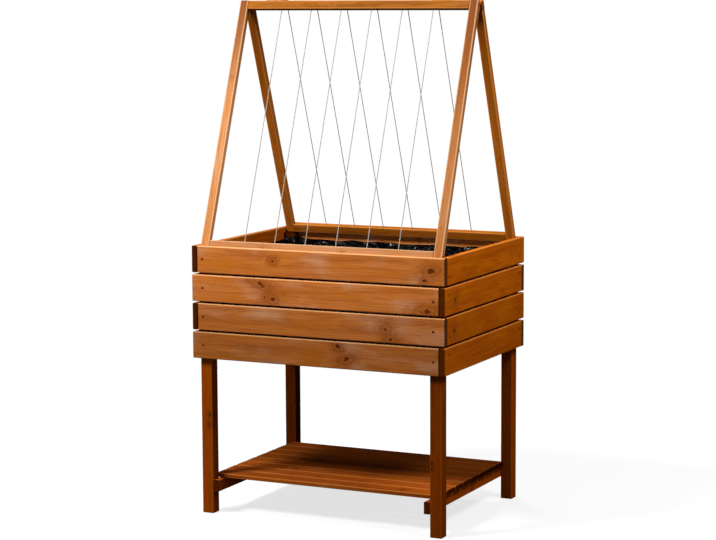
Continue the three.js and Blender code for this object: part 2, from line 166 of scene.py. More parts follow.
frontFrameLook = {
    **boardLook, "pale": "#C28656", "deep": "#A0602C", "rose": "#C28C66", "amber": "#BC7834",
    "wearAndHighlight": "#DCB084", "knot": "#7A3C12", "halo": "#A0602A", "end": "#5A260A", "ringWidth": 2.6,
    "knotStrength": 0.6, "ringStrength": 0.5, "streakStrength": 0.5,
    # painted shade, darker towards the tops of the stiles
    "paintedTopShade": {"hex": "#703808", "reach": 400, "strength": 0.9},
}
darkFrameLook = {
    **frontFrameLook, "pale": "#A85E18", "deep": "#7C3C04", "rose": "#A0581C", "amber": "#AC600C",
    "wearAndHighlight": "#C08040", "gloss": 0.0,
}
# a darker look for the right stile: painted shade where the front light falls off, reaching further down
shadedRightStileLook = {
    **frontFrameLook, "pale": "#AC6C34", "deep": "#80481A", "rose": "#AC7248", "amber": "#A8641E",
    "paintedTopShade": {**frontFrameLook["paintedTopShade"], "reach": 560},
}
# a darker look for the front frame's top rail: painted shade at the top of the trellis
shadedTopRailLook = {
    **darkFrameLook, "pale": "#9A5E22", "deep": "#703A0C", "rose": "#925828", "amber": "#9C5C16",
}


# The wood's figure. Patterns are given as changes per metre along the grain and across it: fibres about 3 mm
# across, bands of 16 mm, and stain that took unevenly over a hand's width. The slant is in degrees, a season
# is a place within the year's ring and its darkness, and the rest is in mm where no note says otherwise.

figure = {
    "fibre": (9, 320, 320), "band": (3, 62, 62), "blotch": (7, 17, 17), "wander": (3.2, 14, 14),
    "wanderBy": 16, "pithAside": 30, "pithDepth": (28, 60), "slant": (2.4, 1), "raggedness": 14,
    "raggedBy": 3.0, "whorlTurn": 3.6,  # in knot radii, and in radians for each knot radius
    "wearAndHighlightFrom": 4.5, "wearAndHighlightFull": 1.2, "endFrom": 2, "endFull": 0.5, "relief": 0.25,
    "season": ((0.0, 0.25), (0.12, 0.0), (0.55, 0.22), (0.86, 1.0), (1.0, 0.3)),
}
inPlace = {"vector_type": "TEXTURE"}
eased = {"interpolation_type": "SMOOTHSTEP"}


def knotField(tree, grain, knots):
    # how far the rings swerve round the knots, and the distance from the nearest one in knot radii;
    # a faint one is a branch that runs just under the face
    swerve, nearest = 0.0, 99.0
    onFace = addNode(tree, "VectorMath", times, {0: grain, 1: (1, 1, 0)})
    for one in knots:
        toKnot = addNode(tree, "Mapping", inPlace, {
            "Vector": onFace, "Location": (one["along"] * mm, one["across"] * mm, 0),
            "Rotation": (0, 0, math.radians(one["tilt"])), "Scale": (one["stretch"], 1, 1)})
        distance = addNode(tree, "VectorMath", {"operation": "LENGTH"}, {0: toKnot}).outputs["Value"]
        push = addNode(tree, "MapRange", {"interpolation_type": "SMOOTHERSTEP"}, {
            "Value": distance, "From Max": one["reach"] * mm,
            "To Min": one["swerve"] * mm, "To Max": 0.0})
        inRadii = addNode(tree, "Math", timesPlus, {
            0: distance, 1: 1 / (one["radius"] * mm), 2: one["faint"]})
        swerve = addNode(tree, "Math", plus, {0: swerve, 1: push})
        nearest = addNode(tree, "Math", {"operation": "MINIMUM"}, {0: nearest, 1: inRadii})
    return swerve, nearest


def stretchedClouds(tree, where, shift, perMetre, detail, roughness):
    spread = addNode(tree, "Mapping", {}, {"Vector": where, "Location": shift, "Scale": perMetre})
    return addNode(tree, "TexNoise", {}, {
        "Vector": spread, "Scale": 1.0, "Detail": detail, "Roughness": roughness})


def growthRings(tree, wander, swerve, ringWidth, dice):
    # rings round a pith that lies behind the face and slants a little
    aside, (shallow, deep), (tip, yaw) = figure["pithAside"], figure["pithDepth"], figure["slant"]
    pith = (0, dice.uniform(-aside, aside) * mm, -dice.uniform(shallow, deep) * mm)
    slant = (0, math.radians(dice.uniform(-tip, tip)), math.radians(dice.uniform(-yaw, yaw)))
    fromPith = addNode(tree, "Mapping", inPlace, {"Vector": wander, "Location": pith, "Rotation": slant})
    fromPith = addNode(tree, "VectorMath", times, {0: fromPith, 1: (0, 1, 1)})
    radius = addNode(tree, "VectorMath", {"operation": "LENGTH"}, {0: fromPith}).outputs["Value"]
    radius = addNode(tree, "Math", plus, {0: radius, 1: swerve})
    years = addNode(tree, "Math", times, {0: radius, 1: 1 / (ringWidth * mm)})
    season = addNode(tree, "Math", {"operation": "FRACT"}, {0: years})
    ring = addNode(tree, "ValToRGB", {}, {"Fac": season})
    stops = ring.color_ramp.elements
    for at, level in figure["season"]:
        stop = stops[0] if at == 0.0 else stops[-1] if at == 1.0 else stops.new(at)
        stop.color = (level, level, level, 1)
    return ring


def oiledPine(name, place, look, knots, seed, gain=1.0):
    material, tree = newMaterial(name)
    dice = random.Random(seed)
    centre, turn, half = place
    shift = [dice.uniform(-40, 40) for _ in range(3)]
    where = addNode(tree, "TexCoord").outputs["Object"]
    grain = addNode(tree, "Mapping", inPlace, {
        "Vector": where, "Location": centre, "Rotation": turn.to_euler()})
    swerve, nearest = knotField(tree, grain, knots)
    wander = stretchedClouds(tree, grain, shift, figure["wander"], 3.0, 0.55).outputs["Color"]
    wanderBy = figure["wanderBy"] * mm
    wander = addNode(tree, "VectorMath", timesPlus, {0: wander, 1: (0.0, wanderBy, wanderBy), 2: grain})
    ring = growthRings(tree, wander, swerve, look["ringWidth"], dice)
    fibre = stretchedClouds(tree, grain, shift, figure["fibre"], 4.0, 0.6)
    band = stretchedClouds(tree, wander, shift, figure["band"], 3.0, 0.55)
    blotch = stretchedClouds(tree, grain, shift[::-1], figure["blotch"], 3.0, 0.5)

    def tone(key, share=1.0):
        return linear(look[key], gain * share)

    # the layers of colour over the pale wood, each with its share: rings and stain first
    ringShare = addNode(tree, "Math", times, {0: ring, 1: look["ringStrength"]})
    layers = [(ringShare, tone("deep"))]
    for pattern, low, high, strength, colour in (
            (blotch, 0.52, 0.72, look["blotchStrength"], tone("rose")),
            (blotch, 0.48, 0.3, look["blotchStrength"], tone("amber")),
            (fibre, 0.42, 0.72, look["streakStrength"], tone("deep", 0.9)),
            (band, 0.5, 0.78, look["streakStrength"] * 1.5, tone("deep", 0.9))):
        share = addNode(tree, "MapRange", {}, {
            "Value": pattern, "From Min": low, "From Max": high, "To Max": strength})
        layers.append((share, colour))

    # a knot's dark heart, and the whorl of darker rings round it, both ragged
    ragged = addNode(tree, "TexNoise", {}, {
        "Vector": wander, "Scale": 1 / (figure["raggedness"] * mm), "Detail": 4.0})
    ragged = addNode(tree, "Math", timesPlus, {0: ragged, 1: figure["raggedBy"], 2: -figure["raggedBy"] / 2})
    ragged = addNode(tree, "Math", plus, {0: nearest, 1: ragged})
    whorl = addNode(tree, "Math", times, {0: ragged, 1: figure["whorlTurn"]})
    whorl = addNode(tree, "Math", {"operation": "SINE"}, {0: whorl})
    whorl = addNode(tree, "MapRange", {}, {"Value": whorl, "From Min": -1.0, "From Max": 1.0, "To Min": 0.6})
    fade = addNode(tree, "MapRange", eased, {
        "Value": ragged, "From Min": 1.1, "From Max": 5.4,
        "To Min": 0.95 * look["knotStrength"], "To Max": 0.0})
    whorl = addNode(tree, "Math", times, {0: whorl, 1: fade})
    heart = addNode(tree, "MapRange", eased, {
        "Value": ragged, "From Min": 0.45, "From Max": 1.3, "To Min": look["knotStrength"], "To Max": 0.0})
    layers += [(whorl, tone("halo")), (heart, tone("knot"))]

    # painted shade: darker towards the top of an upright piece
    if "paintedTopShade" in look:
        paintedTopShade = look["paintedTopShade"]
        along = addNode(tree, "SeparateXYZ", {}, {"Vector": wander})
        share = addNode(tree, "MapRange", eased, {
            "Value": along, "From Min": -half[0], "From Max": -half[0] + paintedTopShade["reach"] * mm,
            "To Min": paintedTopShade["strength"], "To Max": 0.0})
        layers.append((share, linear(paintedTopShade["hex"], gain)))

    # rounded edges, paler as sanded wear and painted highlight; and the ends, which drank most of the stain
    size = addNode(tree, "VectorMath", {"operation": "ABSOLUTE"}, {0: grain})
    apart = addNode(tree, "SeparateXYZ", {}, {"Vector": size}).outputs
    across = apart["Y"]
    # on the wall boards only the upper edges grow paler: painted highlight
    if look.get("highlightUpperEdgeOnly"):
        across = addNode(tree, "SeparateXYZ", {}, {"Vector": grain}).outputs["Y"]
    edgeWearAndHighlight = look["wearAndHighlightStrength"]
    for reach, limit in ((across, half[1]), (apart["Z"], half[2])):
        near = addNode(tree, "MapRange", eased, {
            "Value": reach, "From Min": limit - figure["wearAndHighlightFrom"] * mm,
            "From Max": limit - figure["wearAndHighlightFull"] * mm})
        edgeWearAndHighlight = addNode(tree, "Math", times, {0: edgeWearAndHighlight, 1: near})
    atEnd = addNode(tree, "MapRange", eased, {
        "Value": apart["X"], "From Min": half[0] - figure["endFrom"] * mm,
        "From Max": half[0] - figure["endFull"] * mm, "To Max": 0.85})
    endColour = addNode(tree, "MixRGB", {}, {
        "Fac": ring, "Color1": tone("end", 1.5), "Color2": tone("end", 0.6)})
    layers += [(edgeWearAndHighlight, tone("wearAndHighlight")), (atEnd, endColour)]
    wood = tone("pale")
    for share, colour in layers:
        wood = addNode(tree, "MixRGB", {}, {"Fac": share, "Color1": wood, "Color2": colour})

    smoothest, roughest = look["roughness"]
    roughness = addNode(tree, "MapRange", {}, {
        "Value": fibre, "From Min": 0.3, "From Max": 0.7, "To Min": smoothest, "To Max": roughest})
    roughness = addNode(tree, "Math", plus, {0: roughness, 1: atEnd})
    relief = addNode(tree, "Math", timesPlus, {0: ring, 1: 0.5, 2: fibre})
    normal = addNode(tree, "Bump", {}, {
        "Height": relief, "Strength": look["bump"], "Distance": figure["relief"] * mm})
    surface = addNode(tree, "BsdfPrincipled", {}, {
        "Base Color": wood, "Roughness": roughness, "Normal": normal,
        "IOR": 1.5, "Specular IOR Level": look["gloss"]})
    addNode(tree, "OutputMaterial", {}, {"Surface": surface})
    return material


# Smooth shading over the rounded edges alone, added to each wooden piece as modifiers.

shading = {"weld": 0.01, "sharpFrom": 50}  # mm and degrees


def easedShading():
    group = bpy.data.node_groups.new("easedShading", "GeometryNodeTree")
    for way in ("INPUT", "OUTPUT"):
        group.interface.new_socket("Geometry", in_out=way, socket_type="NodeSocketGeometry")
    start = addNode(group, "NodeGroupInput")
    bare = addNode(group, "GeometryNodeRemoveAttribute", {}, {"Geometry": start, "Name": "custom_normal"})
    welded = addNode(group, "GeometryNodeMergeByDistance", {}, {
        "Geometry": bare, "Distance": shading["weld"] * mm})
    smooth = addNode(group, "GeometryNodeSetShadeSmooth", {}, {"Geometry": welded, "Shade Smooth": True})
    angle = addNode(group, "GeometryNodeInputMeshEdgeAngle")
    sharp = addNode(group, "FunctionNodeCompare", {"operation": "GREATER_THAN"}, {
        0: angle, 1: math.radians(shading["sharpFrom"])})
    creased = addNode(group, "GeometryNodeSetShadeSmooth", {"domain": "EDGE"}, {
        "Geometry": smooth, "Selection": sharp, "Shade Smooth": False})
    addNode(group, "NodeGroupOutput", {}, {0: creased})
    return group


easedGroup = easedShading()


def knot(along, across, radius, reach, swerve, stretch=1.3, tilt=0, faint=0.0):
    # in mm from the middle of a face; reach is how far off the rings still swerve, tilt is in degrees
    return {"along": along, "across": across, "radius": radius, "reach": reach, "swerve": swerve,
            "stretch": stretch, "tilt": tilt, "faint": faint}


smallKnot = {"spread": (0.9, 0.7), "radius": (2, 4), "reach": (20, 32), "swerve": (4, 9)}


def randomKnots(seed, half, count):
    dice = random.Random(seed)
    made = []
    for _ in range(count):
        along, across = (dice.uniform(-share, share) for share in smallKnot["spread"])
        radius, reach, swerve = (dice.uniform(*smallKnot[key]) for key in ("radius", "reach", "swerve"))
        made.append(knot(along * half[0] / mm, across * half[1] / mm, radius, reach, swerve))
    return made


def dressWood(node, place, look, knots, seed, gain=1.0, knotSeed=None):
    # place is the middle, the turn and half the size; knots is a list of them, or how many to scatter
    if isinstance(knots, int):
        knots = randomKnots(knotSeed or seed, place[2], knots)
    piece = nodes[node]
    piece.material_slots[0].material = oiledPine(f"oiledPine_{node}", place, look, knots, seed, gain)
    piece.modifiers.new("easedShading", "NODES").node_group = easedGroup
    piece.modifiers.new("flatFaces", "WEIGHTED_NORMAL").keep_sharp = True


def dressBar(node, along, outward, look, knots, seed, gain=1.0):
    # a piece whose box is its own size, because no screw stands out of it
    turn = turnedTo(along, outward)
    low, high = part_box(node)
    half = [abs(turn.col[i].dot(high - low)) / 2 for i in range(3)]
    dressWood(node, (middleOf(node), turn, half), look, knots, seed, gain)


# Walls. The drawn knots are where the photograph shows them, in mm from a board's middle.

# Gains: each board's tone, and darker lower courses as painted shade of light falling off to the ground
walls = {
    "front": {"along": xAxis, "outward": -yAxis, "gains": (1.0, 0.98, 0.8, 0.64), "screwShift": 0},
    "right": {"along": yAxis, "outward": xAxis, "gains": (1.15, 1.1, 0.97, 0.94), "screwShift": 17},
    "back": {"along": -xAxis, "outward": yAxis, "gains": (1.45, 1.0, 0.9, 0.85), "screwShift": 0},
    "left": {"along": -yAxis, "outward": -xAxis, "gains": (0.95, 0.9, 0.8, 0.8), "screwShift": 17},
}
courses = range(1, 5)
drawnKnots = {
    "front_board_1": [
        knot(-144, 5, 5, 30, 8), knot(330, -26, 4.5, 22, 5), knot(350, 3, 7, 40, 8, stretch=1.8, tilt=12)],
    "front_board_2": [
        knot(-126, -21, 6.5, 34, 10),
        knot(-170, 24, 8, 30, 8, stretch=3.2, tilt=-26, faint=0.45),
        knot(-152, -16, 6, 24, 5, tilt=50, faint=0.5),
        knot(350, -28, 8, 30, 6, stretch=2.4, tilt=8, faint=0.25)],
    "front_board_3": [
        knot(212, 0, 9, 46, 16, stretch=1.1, faint=0.5),
        knot(228, -29, 7, 30, 9, stretch=1.6, faint=0.4)],
    "front_board_4": [
        knot(80, 25, 6.5, 26, 7, stretch=1.6, tilt=-30, faint=0.2),
        knot(108, -10, 7, 30, 8, stretch=1.8, tilt=20, faint=0.15)],
    "right_board_1": [],
    "right_board_2": [knot(-215, 0, 7, 30, 8, tilt=60)],
    "right_board_3": [knot(-240, -3, 9, 34, 9, stretch=1.1, faint=0.35)],
    "right_board_4": [],
}
for wallIndex, (wallName, wall) in enumerate(walls.items()):
    # the wall boards' paler upper edges are painted highlight
    look = {**(boardLook if wallName in ("front", "back") else sideLook), "highlightUpperEdgeOnly": True}
    for course in courses:
        node = f"{wallName}_board_{course}"
        seed = 100 * (wallIndex + 1) + course
        dressBar(node, wall["along"], wall["outward"], look, drawnKnots.get(node, 2), seed,
                 wall["gains"][course - 1])
print("walls dressed")


# Posts. The boards' screws stand out of them, so their middles follow from the inner faces and the size.

# the back left post's low gain is painted shade under the box; the front right post is darker too
post = {
    "size": 36, "knots": 2, "knotSeed": 7, "seed": 500,
    "gains": {"front_left": 1.0, "front_right": 0.66, "back_left": 0.25, "back_right": 1.0},
}
postLow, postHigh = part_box("front_right_post")
postHalf = post["size"] / 2 * mm
postInner = Vector((postLow.x, -postHigh.y))
postCentre = Vector((postInner.x + postHalf, postInner.y + postHalf))
for index, (corner, gain) in enumerate(post["gains"].items()):
    ends = (-1 if "left" in corner else 1, -1 if "front" in corner else 1)
    centre = Vector((ends[0] * postCentre.x, ends[1] * postCentre.y, postHigh.z / 2))
    place = (centre, turnedTo(zAxis, -yAxis), [postHigh.z / 2, postHalf, postHalf])
    dressWood(f"{corner}_post", place, postLook, post["knots"], post["seed"] + index, gain,
              post["knotSeed"] + index)


# Shelf: eight slats on two cross rails, whose screws run on into the posts

# the lower gains of the slats from the fourth back are painted shade of the box above them
shelf = {
    "slats": 8, "slatSeed": 600, "gains": (1.15, 1.15, 1.15, 0.9, 0.6, 0.55, 0.55, 0.55),
    "railWidth": 18, "railHeight": 35, "railSeed": 640, "railKnotSeed": 47, "railGain": 1.3,
}
slatKnots = {1: [knot(236, 0, 6, 24, 7)]}
for index in range(1, shelf["slats"] + 1):
    dressBar(f"shelf_slat_{index}", xAxis, zAxis, shelfLook, slatKnots.get(index, 1),
             shelf["slatSeed"] + index, shelf["gains"][index - 1])
railLow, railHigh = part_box("left_shelf_rail")
railInner = -railHigh.x
railMiddle = railInner + shelf["railWidth"] / 2 * mm
railCentreZ = railLow.z + shelf["railHeight"] / 2 * mm
for xSide, node in ((-1, "left_shelf_rail"), (1, "right_shelf_rail")):
    half = [-railLow.y, shelf["railHeight"] / 2 * mm, shelf["railWidth"] / 2 * mm]
    place = (Vector((xSide * railMiddle, 0, railCentreZ)), turnedTo(yAxis, xAxis), half)
    dressWood(node, place, postLook, 1, shelf["railSeed"] + xSide, shelf["railGain"],
              shelf["railKnotSeed"] + xSide)


# Floor of the box, on two ledgers

floorFrame = {
    "boards": 6, "boardKnots": 3, "boardSeed": 660, "ledgerThickness": 24, "ledgerHeight": 34,
    "ledgerScrews": 3, "ledgerPitch": 280, "ledgerKnots": 2, "ledgerSeed": 680, "ledgerKnotSeed": 71,
}
for index in range(1, floorFrame["boards"] + 1):
    dressBar(f"floor_board_{index}", yAxis, zAxis, floorLook, floorFrame["boardKnots"],
             floorFrame["boardSeed"] + index)
ledgerLow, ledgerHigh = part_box("front_floor_ledger")
ledgerInner = -ledgerHigh.y
ledgerMiddle = ledgerInner + floorFrame["ledgerThickness"] / 2 * mm
ledgerCentreZ = ledgerLow.z + floorFrame["ledgerHeight"] / 2 * mm
for ySide, node in ((-1, "front_floor_ledger"), (1, "back_floor_ledger")):
    half = [ledgerHigh.x, floorFrame["ledgerHeight"] / 2 * mm, floorFrame["ledgerThickness"] / 2 * mm]
    place = (Vector((0, ySide * ledgerMiddle, ledgerCentreZ)), turnedTo(xAxis, yAxis), half)
    dressWood(node, place, floorLook, floorFrame["ledgerKnots"], floorFrame["ledgerSeed"] + ySide,
              knotSeed=floorFrame["ledgerKnotSeed"] + ySide)


# Trellis frames, in the planes of their own: X across, Z up to the hinge pins, in mm

trellis = {
    "stileLength": 760.5, "pinRise": 4.1, "width": 26, "thickness": 18, "halfSpan": 382, "fromRidge": 10,
    "fit": 0.3, "knots": 2, "seed": 720,
    "gains": {"front_frame_bottom_rail": 0.85, "rear_frame_right_stile": 1.3, "rear_frame_top_rail": 1.1},
}
frames = {"front_frame": (-1, "trellis_front"), "rear_frame": (1, "trellis_rear")}
stileMiddle = trellis["halfSpan"] - trellis["width"] / 2
footZ = -trellis["pinRise"] - trellis["stileLength"]
topRailZ = -trellis["pinRise"] - trellis["width"] / 2
bottomRailZ = footZ + trellis["width"] / 2
for frameName, (side, body) in frames.items():
    capped = frameName == "rear_frame"
    stileTop = -trellis["pinRise"] - (trellis["width"] + trellis["fit"] if capped else 0)
    between = trellis["halfSpan"] - trellis["width"] - trellis["fit"]
    members = {
        "top_rail": (0, topRailZ, trellis["halfSpan"] if capped else between),
        "bottom_rail": (0, bottomRailZ, between),
        "left_stile": (-stileMiddle, (stileTop + footZ) / 2, (stileTop - footZ) / 2),
        "right_stile": (stileMiddle, (stileTop + footZ) / 2, (stileTop - footZ) / 2),
    }
    for index, (member, (x, z, length)) in enumerate(members.items()):
        upright = "stile" in member
        along = leanTurn(side) @ -zAxis if upright else xAxis
        look = darkFrameLook if capped else {
            "top_rail": shadedTopRailLook, "right_stile": shadedRightStileLook}.get(member, frontFrameLook)
        if not upright:
            look = {key: value for key, value in look.items() if key != "paintedTopShade"}
        centre = leanPlace(side) @ (Vector((x, side * trellis["fromRidge"], z)) * mm)
        half = [length * mm, trellis["width"] / 2 * mm, trellis["thickness"] / 2 * mm]
        place = (centre, turnedTo(along, leanTurn(side) @ (yAxis * side)), half)
        seed = trellis["seed"] + 10 * side + index
        node = f"{frameName}_{member}"
        dressWood(node, place, look, trellis["knots"], seed, trellis["gains"].get(node, 1.0))
print("wood dressed")


# Liner: blown black polythene film, pressed into the box by hand. It is glossy and its creases catch the
# light as short white strokes.

linerBag = {
    "wall": 0.6, "grid": 6.0, "floorGrid": 7.2, "cornerRadius": 7.0, "footRadius": 16.0, "footSteps": 5,
    "rim": 757.0, "postRise": 8.0, "postReach": 60.0, "rimWaver": 3.0, "waverPitch": 22,
    "crease": 5.0, "wallFolds": ((75, 3, 0.6), (30, 9, 0.4)),  # each fold's size, seed and share
    "floorCrease": 4.0, "floorFolds": ((95, 5, 0.6), (38, 12, 0.4)), "edgeFade": 50.0, "cornerFade": 30.0,
}


def polytheneFilm():
    material, tree = newMaterial("blackPolytheneFilm")
    where, dust, colour = mottled(tree, 14.0, 5.0, "#050404", "#0E0B0A")
    folds = 0.0
    for size, share in ((34, 1.0), (13, 0.5)):
        pattern = addNode(tree, "TexVoronoi", {"feature": "DISTANCE_TO_EDGE"}, {
            "Vector": where, "Scale": 1 / (size * mm)})
        pattern = addNode(tree, "Math", times, {0: pattern, 1: share})
        folds = addNode(tree, "Math", plus, {0: folds, 1: pattern})
    roughness = addNode(tree, "MapRange", {}, {
        "Value": dust, "From Min": 0.3, "From Max": 0.7, "To Min": 0.14, "To Max": 0.26})
    normal = addNode(tree, "Bump", {}, {"Height": folds, "Strength": 0.9, "Distance": 9 * mm})
    surface = addNode(tree, "BsdfPrincipled", {}, {
        "Base Color": colour, "Roughness": roughness, "Normal": normal,
        "IOR": 1.51, "Specular IOR Level": 0.16})
    addNode(tree, "OutputMaterial", {}, {"Surface": surface})
    return material


def roundedOutline(corners, radius, step):
    # evenly spaced points round a closed outline whose corners are rounded; corners are in order
    points, arcSteps = [], 4
    for index, corner in enumerate(corners):
        before = (corners[index - 1] - corner).normalized()
        after = (corners[(index + 1) % len(corners)] - corner).normalized()
        start, end = corner + before * radius, corner + after * radius
        middle = corner + (before + after) * radius
        for part in range(arcSteps + 1):
            angle = part / arcSteps * math.pi / 2
            points.append(middle + (start - middle) * math.cos(angle) + (end - middle) * math.sin(angle))
    dense = []
    for index, point in enumerate(points):
        following = points[(index + 1) % len(points)]
        count = max(1, round((following - point).length / step))
        dense += [point.lerp(following, part / count) for part in range(count)]
    return dense


def crumpled(point, folds):
    # ridged noise from 0 to 1: flat facets that meet in sharp creases
    height = 1.0
    for size, seed, share in folds:
        spot = point * (1 / (size * mm)) + Vector((seed, seed * 0.7, -seed))
        height += share * (1 - 2 * abs(noise.noise(spot)))
    return height / 2


def filmWalls(outline, floorZ, postX, postY):
    # rows of points from the wavering edge down the walls and round the foot, one ring for each row
    bag = linerBag
    count = len(outline)
    inwards = []
    for index in range(count):
        way = outline[(index + 3) % count] - outline[index - 3]
        inwards.append(Vector((-way.y, way.x)).normalized())
    foot = bag["footRadius"] * mm
    wallHeight = bag["rim"] * mm - floorZ - foot
    wallRows = round(wallHeight / (bag["grid"] * mm))
    rows = [(0.0, foot + wallHeight * (1 - row / wallRows)) for row in range(wallRows + 1)]
    for step in range(1, bag["footSteps"] + 1):
        angle = step / bag["footSteps"] * math.pi / 2
        rows.append((foot * (1 - math.cos(angle)), foot * (1 - math.sin(angle))))
    points, faces = [], []
    for inset, height in rows:
        upper = max(0.0, (height - foot) / wallHeight)
        for point, inward in zip(outline, inwards):
            flat = point + inward * inset
            spot = Vector((flat.x, flat.y, floorZ + height))
            fromPost = Vector((abs(point.x), abs(point.y))) - Vector((postX, postY))
            nearPost = max(0.0, 1 - fromPost.length / (bag["postReach"] * mm))
            waver = bag["rimWaver"] * noise.noise(Vector((point.x, point.y, 0)) * bag["waverPitch"]) * mm
            spot.z += upper ** 3 * (bag["postRise"] * nearPost * mm + waver)
            depth = crumpled(spot, bag["wallFolds"]) * bag["crease"] * mm * min(1.0, height / foot)
            push = inward * max(0.0, depth)
            points.append((spot.x + push.x, spot.y + push.y, spot.z))
    for row in range(len(rows) - 1):
        for index in range(count):
            following = (index + 1) % count
            a, b = row * count + index, row * count + following
            faces.append((a, a + count, b + count, b))
    return points, faces


def buildLiner():
    bag = linerBag
    low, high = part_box("liner")
    postX, postY = (reach - bag["wall"] * mm for reach in postInner)
    x, y, floorZ = high.x, high.y, low.z
    corners = [Vector(c) for c in (
        (-postX, -y), (postX, -y), (postX, -postY), (x, -postY), (x, postY), (postX, postY),
        (postX, y), (-postX, y), (-postX, postY), (-x, postY), (-x, -postY), (-postX, -postY))]
    outline = roundedOutline(corners, bag["cornerRadius"] * mm, bag["grid"] * mm)
    points, faces = filmWalls(outline, floorZ, postX, postY)
    build = bmesh.new()
    made = [build.verts.new(p) for p in points]
    for face in faces:
        build.faces.new([made[i] for i in face])

    # the floor: the inside of the last ring, cut into a grid
    inside = bmesh.new()
    inside.faces.new([inside.verts.new((px, py, 0)) for px, py, _ in points[-len(outline):]])
    for normal, limit in ((xAxis, x), (yAxis, y)):
        cuts = math.ceil(2 * limit / (bag["floorGrid"] * mm))
        for cut in range(1, cuts):
            at = normal * (-limit + 2 * limit * cut / cuts)
            geometry = inside.verts[:] + inside.edges[:] + inside.faces[:]
            bmesh.ops.bisect_plane(inside, geom=geometry, plane_co=at, plane_no=normal, dist=1e-6)
    copies = {}
    for vert in inside.verts:
        spot = Vector((vert.co.x, vert.co.y, floorZ))
        edgeFade = min(1.0, min(x - abs(spot.x), y - abs(spot.y)) / (bag["edgeFade"] * mm))
        fromCorner = Vector((max(0, postX - abs(spot.x)), max(0, postY - abs(spot.y))))
        cornerFade = max(0.0, min(1.0, fromCorner.length / (bag["cornerFade"] * mm)))
        lift = crumpled(spot, bag["floorFolds"]) * bag["floorCrease"] * mm
        copies[vert] = build.verts.new((spot.x, spot.y, floorZ + lift * max(0, edgeFade) * cornerFade))
    for face in inside.faces:
        build.faces.new([copies[v] for v in face.verts])
    inside.free()
    bmesh.ops.remove_doubles(build, verts=build.verts[:], dist=0.05 * mm)
    bmesh.ops.recalc_face_normals(build, faces=build.faces[:])
    mesh = bpy.data.meshes.new("linerFilm")
    build.to_mesh(mesh)
    build.free()
    mesh.polygons.foreach_set("use_smooth", [True] * len(mesh.polygons))
    piece = newPiece("liner_film", mesh, polytheneFilm(), "planter")
    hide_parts("liner")


buildLiner()


# Twine: three waxed cotton strands laid together. Each frame is laced with one length.

twine = {
    "strandOffset": 0.78, "strandRadius": 0.74, "lay": 8.0, "stepsPerLay": 6, "sides": 5,
    "strings": 6, "pitch": 97.5, "groove": 1.8, "bend": 4.0, "bendSteps": 6, "runSteps": 60,
    "knotRise": 8.0, "knotDrop": 1.7, "knotRadius": 1.8, "knotTurns": 2.0, "knotSteps": 24, "pastKnot": 3,
}
topRun = -trellis["pinRise"] - twine["groove"]
bottomRun = footZ + twine["groove"]
knotTop = footZ + twine["knotRise"]
knotBottom = footZ + twine["knotDrop"]


def cottonTwine():
    material, tree = newMaterial("waxedCottonTwine")
    where, fluff, colour = mottled(tree, 1 / (0.9 * mm), 3.0, "#9A958C", "#DAD5CC")
    soil = addNode(tree, "TexNoise", {}, {"Vector": where, "Scale": 9.0, "Detail": 2.0})
    colour = addNode(tree, "MixRGB", {"blend_type": "MULTIPLY"}, {
        "Fac": soil, "Color1": colour, "Color2": linear("#E0D8C8")})
    normal = addNode(tree, "Bump", {}, {"Height": fluff, "Strength": 0.5, "Distance": 0.2 * mm})
    surface = addNode(tree, "BsdfPrincipled", {}, {
        "Base Color": colour, "Roughness": 0.75, "Normal": normal,
        "Specular IOR Level": 0.3, "Sheen Weight": 0.25})
    addNode(tree, "OutputMaterial", {}, {"Surface": surface})
    return material


def twineRoute():
    # the lacing in its frame's own X and Z, in mm: a knot, six runs with round bends, and a knot
    t = twine
    at = [(index - (t["strings"] - 1) / 2) * t["pitch"] for index in range(t["strings"])]
    knot = []
    for step in range(t["knotSteps"], -1, -1):
        angle = step / t["knotSteps"] * t["knotTurns"] * 2 * math.pi
        height = knotTop + (knotBottom - knotTop) * step / t["knotSteps"]
        knot.append(Vector((t["knotRadius"] * math.cos(angle), t["knotRadius"] * math.sin(angle), height)))
    route = [Vector((at[0] + p.x, p.y, p.z)) for p in knot]
    for index in range(t["strings"]):
        rising = index % 2 == 0
        low = knotTop + t["pastKnot"] if index in (0, t["strings"] - 1) else bottomRun + t["bend"]
        high = topRun - t["bend"]
        ends = (low, high) if rising else (high, low)
        for part in range(t["runSteps"] + 1):
            route.append(Vector((at[index], 0, ends[0] + (ends[1] - ends[0]) * part / t["runSteps"])))
        if index == t["strings"] - 1:
            break
        level, turnSign = (topRun, 1) if rising else (bottomRun, -1)
        for corner, angles in ((at[index] + t["bend"], (180, 90)), (at[index + 1] - t["bend"], (90, 0))):
            for part in range(1, t["bendSteps"] + 1):
                angle = math.radians(angles[0] + (angles[1] - angles[0]) * part / t["bendSteps"])
                height = level - turnSign * t["bend"] + turnSign * t["bend"] * math.sin(angle)
                route.append(Vector((corner + t["bend"] * math.cos(angle), 0, height)))
    route += [Vector((at[-1] + p.x, p.y, p.z)) for p in reversed(knot)]
    return route


def evenly(route, step):
    lengths = [0.0]
    for before, after in zip(route, route[1:]):
        lengths.append(lengths[-1] + (after - before).length)
    count = round(lengths[-1] / step)
    points, segment = [], 0
    for index in range(count + 1):
        target = lengths[-1] * index / count
        while segment < len(lengths) - 2 and lengths[segment + 1] < target:
            segment += 1
        span = lengths[segment + 1] - lengths[segment]
        points.append(route[segment].lerp(route[segment + 1], (target - lengths[segment]) / span))
    return points, lengths[-1]


